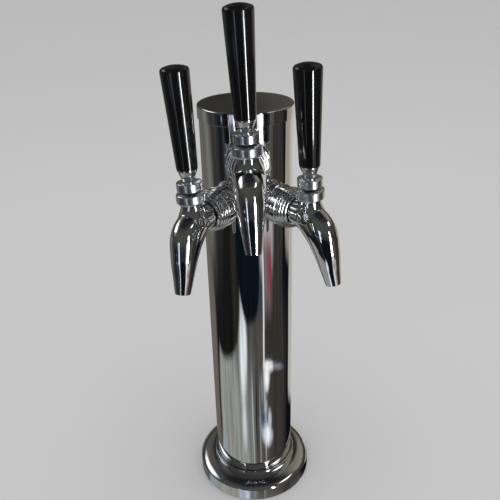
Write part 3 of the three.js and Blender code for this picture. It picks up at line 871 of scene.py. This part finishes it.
# What the chrome reflects: soft patches painted one over another round the tower. Each
# has the azimuth (off the front, towards +X) and elevation of its middle, half its width
# and half its height, all in degrees; then its squareness (2 is an ellipse), the
# softness of its edge as a share of its size, and its colour.
ROOM = (0.004, 0.006, 0.009)  # where there is no patch
PATCHES = (
    (0, 30, 110, 34, 3, 0.60, (0.074, 0.073, 0.064)),  # olive ceiling in front
    (180, 20, 70, 18, 4, 0.40, (0.042, 0.038, 0.032)),  # brown wall behind
    (174, 14, 5, 5, 2, 0.80, (0.110, 0.100, 0.085)),  # faint glow on it
    (-130, 40, 40, 22, 3, 0.50, (0.110, 0.105, 0.100)),  # grey wall, high on the left
    (130, 45, 36, 20, 3, 0.40, (0.260, 0.240, 0.190)),  # lit shelf, high on the right
    (0, 90, 181, 29, 8, 0.80, (0.016, 0.018, 0.022)),  # dark overhead
    (0, -68, 181, 21, 8, 0.05, (0.240, 0.230, 0.210)),  # floor close by
    (0, -80, 181, 20, 8, 0.30, (0.060, 0.058, 0.050)),  # and darker at the foot
    (30, -40, 60, 9, 8, 0.15, (0.092, 0.084, 0.076)),  # brown counter
    (80, -40, 30, 9, 3, 0.50, (0.046, 0.040, 0.036)),  # its shaded end
    (-12, -46, 16, 9, 3, 0.50, (0.200, 0.200, 0.190)),  # worn patch, in front
    (-63, -43.5, 47, 11, 4, 0.10, (0.330, 0.335, 0.300)),  # pale counter
    (-27, -35.5, 11, 4.5, 2, 0.50, (0.820, 0.860, 0.880)),  # glare on its edge
    (-74, -24, 44, 12.4, 3.2, 0.05, (0.009, 0.010, 0.009)),  # dark figure, left
    (-44, -27, 7, 9, 3, 0.60, (0.026, 0.026, 0.018)),  # its lighter edge
    (24, -24, 13, 9, 3, 0.30, (0.032, 0.050, 0.064)),  # bluish dusk beside the middle
    (-5, -22, 29, 11.3, 3.0, 0.05, (0.004, 0.007, 0.011)),  # dark figure, middle
    (66, -18, 30, 20, 8, 0.15, (0.040, 0.037, 0.033)),  # wall on the right
    (57, -15, 7, 11, 3, 0.70, (0.110, 0.100, 0.090)),  # its lit part
    (44, -24.5, 18, 4, 3, 0.50, (0.600, 0.550, 0.550)),  # bright shelf on it
    (46, -28.5, 12, 3.5, 3, 0.60, (0.190, 0.140, 0.145)),  # things under the shelf
    (53, -28.5, 5, 2.4, 2, 0.60, (0.300, 0.050, 0.070)),  # something red there
    (146, -10, 38, 17, 8, 0.08, (0.400, 0.340, 0.270)),  # lit wall behind, right
    (160, -10, 26, 17, 8, 0.30, (0.560, 0.530, 0.490)),  # its brightest part
    (164, -32, 36, 8, 8, 0.10, (0.520, 0.500, 0.470)),  # bench below it
    (-133, -13, 32, 13, 6, 0.15, (0.150, 0.140, 0.120)),  # lit wall behind, left
    (-110, -12, 13, 13, 3, 0.60, (0.210, 0.205, 0.190)),  # pale panel beside it
    (-88, -12, 14, 13, 3, 0.70, (0.045, 0.045, 0.043)),  # and a dark one
    (-148, -36, 30, 14, 6, 0.20, (0.150, 0.130, 0.110)),  # floor behind, left
    (-45, -17, 14, 5, 4, 0.50, (0.040, 0.050, 0.070)),  # bluish wall, left
    (34, -10, 8, 13, 8, 0.10, (1.000, 1.000, 1.000)),  # window, right
    (35, -32, 2.4, 12, 8, 0.40, (0.800, 0.800, 0.800)),  # gap of light under it
    (-34, -2, 6, 12.5, 8, 0.10, (0.450, 0.540, 0.680)),  # window, left
    (28, -39.2, 7, 1.4, 2, 0.80, (0.250, 0.270, 0.280)),  # window patches on the counter
    (74, -37.2, 20, 0.3, 2, 0.80, (0.250, 0.260, 0.270)),
    (47, -37.2, 13, 0.5, 2, 0.60, (1.000, 1.000, 1.000)),
    (42, -38.3, 8, 1.1, 2, 0.60, (1.000, 1.000, 1.000)),
    (38, -40.8, 5, 0.7, 2, 0.80, (0.450, 0.480, 0.500)),
    (52, -41.9, 5, 0.8, 2, 0.70, (0.600, 0.650, 0.700)),
    (30, -42.4, 12, 1.1, 2, 0.60, (0.350, 0.440, 0.530)),
    (26, -41.9, 8, 0.7, 2, 0.70, (0.050, 0.080, 0.120)),
    (42, -43.3, 15, 0.8, 2, 0.60, (0.950, 0.980, 1.000)),
    (-26, -42.5, 6, 2, 2, 0.60, (0.720, 0.740, 0.780)),
    (-2, -43, 1.6, 4.5, 2, 0.50, (0.520, 0.520, 0.500)),  # bright edges on the counter
    (8, -42, 2.0, 4.5, 2, 0.50, (0.030, 0.030, 0.032)),
    (17, -43.5, 1.6, 5, 2, 0.50, (0.300, 0.300, 0.290)),
    (-24, -49, 9, 3, 2, 0.50, (0.500, 0.560, 0.640)),  # glints, seen by the base's rim
    (-105, -46, 12, 3, 2, 0.50, (0.300, 0.380, 0.440)),
    (-52, -13.6, 7, 1, 2, 0.50, (0.350, 0.450, 0.620)),  # glint, seen by the cap's skirt
    (-108, 30, 22, 10, 2, 0.70, (2.000, 2.050, 2.100)),  # lamps, seen by the base's crown
    (68, 42, 15, 3.4, 2, 0.50, (2.400, 2.400, 2.400)),
)

# Noise over the directions: [scale, detail, stretch]. The sway bends the patches' sides
# by up to SWAY_DEGREES either way; the streaks make their light uneven.
SWAY_NOISE = (4, 0.5, (0.6, 0.6, 1.8))
SWAY_DEGREES = 7
STREAK_NOISE = (9, 3, (1, 1, 0.15))
STREAK_STRENGTH = 1.2
STREAK_FLOOR = 0.4


def math_node(tree, operation, *values):
    node = tree.nodes.new("ShaderNodeMath")
    node.operation = operation
    for socket, value in zip(node.inputs, values):
        if isinstance(value, (int, float)):
            socket.default_value = value
        else:
            tree.links.new(value, socket)
    return node.outputs["Value"]


def direction_noise(tree, direction, scale, detail, stretch):
    """Noise over the directions round the tower, averaging a half."""
    place = tree.nodes.new("ShaderNodeVectorMath")
    place.operation = "MULTIPLY"
    tree.links.new(direction, place.inputs[0])
    place.inputs[1].default_value = stretch
    texture = tree.nodes.new("ShaderNodeTexNoise")
    texture.inputs["Scale"].default_value = scale
    texture.inputs["Detail"].default_value = detail
    tree.links.new(place.outputs["Vector"], texture.inputs["Vector"])
    return texture.outputs["Fac"]


def scaled(tree, colour, factor):
    node = tree.nodes.new("ShaderNodeVectorMath")
    node.operation = "SCALE"
    tree.links.new(colour, node.inputs[0])
    tree.links.new(factor, node.inputs["Scale"])
    return node.outputs["Vector"]


def patch_mask(tree, azimuth, elevation, patch):
    """1 inside the patch and 0 outside it, with a soft edge."""
    middle_azimuth, middle_elevation, half_width, half_height, squareness, soft, _ = patch
    turn = math_node(tree, "SUBTRACT", azimuth, middle_azimuth)
    turn = math_node(tree, "WRAP", turn, 180, -180)
    across = math_node(tree, "ABSOLUTE", math_node(tree, "DIVIDE", turn, half_width))
    climb = math_node(tree, "SUBTRACT", elevation, middle_elevation)
    along = math_node(tree, "ABSOLUTE", math_node(tree, "DIVIDE", climb, half_height))
    total = math_node(tree, "ADD", math_node(tree, "POWER", across, squareness),
                      math_node(tree, "POWER", along, squareness))
    edge = tree.nodes.new("ShaderNodeMapRange")
    edge.interpolation_type = "SMOOTHSTEP"
    edge.inputs["From Min"].default_value = 1 + soft
    edge.inputs["From Max"].default_value = 1 - soft
    tree.links.new(math_node(tree, "POWER", total, 1 / squareness), edge.inputs["Value"])
    return edge.outputs["Result"]


def painted(tree, under, mask, colour):
    """The colour over what lies under it, where the mask says."""
    mix = tree.nodes.new("ShaderNodeMix")
    mix.data_type = "RGBA"
    tree.links.new(mask, mix.inputs["Factor"])
    tree.links.new(under, mix.inputs["A"])
    mix.inputs["B"].default_value = (*colour, 1)
    return mix.outputs["Result"]


def build_world():
    """A dim studio of soft patches, seen in everything glossy. Diffuse light and the
    backdrop come from an even pale surround instead."""
    world = bpy.data.worlds.new("studio")
    bpy.context.scene.world = world
    world.use_nodes = True
    tree = world.node_tree
    tree.nodes.clear()
    direction = tree.nodes.new("ShaderNodeTexCoord").outputs["Generated"]
    split = tree.nodes.new("ShaderNodeSeparateXYZ")
    tree.links.new(direction, split.inputs["Vector"])
    towards_front = math_node(tree, "MULTIPLY", split.outputs["Y"], -1)
    heading = math_node(tree, "ARCTAN2", split.outputs["X"], towards_front)
    azimuth = math_node(tree, "DEGREES", heading)
    elevation = math_node(tree, "DEGREES", math_node(tree, "ARCSINE", split.outputs["Z"]))
    sway = direction_noise(tree, direction, *SWAY_NOISE)
    bend = math_node(tree, "MULTIPLY_ADD", sway, 2 * SWAY_DEGREES, -SWAY_DEGREES)
    azimuth = math_node(tree, "ADD", azimuth, bend)
    room = tree.nodes.new("ShaderNodeRGB")
    room.outputs["Color"].default_value = (*ROOM, 1)
    light = room.outputs["Color"]
    for patch in PATCHES:
        light = painted(tree, light, patch_mask(tree, azimuth, elevation, patch), patch[-1])
    streaks = direction_noise(tree, direction, *STREAK_NOISE)
    strength = math_node(tree, "MULTIPLY_ADD", streaks, STREAK_STRENGTH, STREAK_FLOOR)
    light = scaled(tree, light, strength)
    mirrored = tree.nodes.new("ShaderNodeBackground")
    tree.links.new(light, mirrored.inputs["Color"])
    surround = tree.nodes.new("ShaderNodeBackground")
    surround.inputs["Color"].default_value = (*SURROUND, 1)
    mix = tree.nodes.new("ShaderNodeMixShader")
    ray = tree.nodes.new("ShaderNodeLightPath")
    tree.links.new(ray.outputs["Is Glossy Ray"], mix.inputs["Fac"])
    tree.links.new(surround.outputs["Background"], mix.inputs[1])
    tree.links.new(mirrored.outputs["Background"], mix.inputs[2])
    output = tree.nodes.new("ShaderNodeOutputWorld")
    tree.links.new(mix.outputs["Shader"], output.inputs["Surface"])


def build_floor():
    """Plain pale floor. Mirrors see the studio in its place."""
    radius = FLOOR_RADIUS / MM
    disc = turned("floor", [
        (0, -6),
        (0.3 * radius, -6),
        (radius, -6),
        (radius, 0),
        (0.3 * radius, 0),
        (0, 0),
    ], around=64, closed=False)
    material, tree, shader = node_material("floor_paper")
    cloud = noise(tree, 3, 4)
    tree.links.new(
        ramp(tree, cloud, ((0.3, FLOOR_GREY * 0.985), (0.7, FLOOR_GREY))),
        shader.inputs["Base Color"])
    shader.inputs["Roughness"].default_value = 0.9
    shader.inputs["Specular IOR Level"].default_value = 0.1
    disc.materials.append(material)
    floor = new_object("floor", disc)
    floor.location.z = -FLOOR_GAP
    floor.visible_glossy = False


# Near strips, seen as streaks in handles and spouts: azimuth (degrees), distance,
# bottom, top and width (metres), and power (watts).
STRIPS = (
    ("strip_right", 33, 1.0, 0.05, 0.40, 0.09, 4),
    ("strip_right_high", 33, 1.0, 0.40, 0.67, 0.08, 0.8),
    ("strip_left", -28, 0.8, 0.06, 0.45, 0.05, 0.075),
)


def area_light(name, place, target, size, power):
    data = bpy.data.lights.new(name, "AREA")
    data.shape = "RECTANGLE"
    data.size, data.size_y = size
    data.energy = power
    light = bpy.data.objects.new(name, data)
    bpy.context.scene.collection.objects.link(light)
    light.location = place
    light.rotation_euler = (Vector(target) - Vector(place)).to_track_quat("-Z", "Y").to_euler()
    return light


def around_tower(azimuth, distance, height):
    """A point at an azimuth off the front (towards +X) round the column's axis."""
    angle = math.radians(azimuth)
    return (column_axis.x + distance * math.sin(angle),
            column_axis.y - distance * math.cos(angle), height)


def build_lights():
    aim = (column_axis.x, column_axis.y, 0.25)
    overhead = area_light("overhead", around_tower(20, 0.6, 2.6), aim, (2.6, 2.6), 16)
    overhead.visible_glossy = False
    for name, azimuth, distance, low, high, width, power in STRIPS:
        height = (low + high) / 2
        strip = area_light(name, around_tower(azimuth, distance, height),
                           (aim[0], aim[1], height), (width, high - low), power)
        strip.visible_diffuse = False


# ------------------------------------------------------------------ scene
build_camera()
build_tower()
build_faucets()
dress_cad_nodes()
build_world()
build_floor()
build_lights()
bpy.context.scene.view_settings.view_transform = "Standard"
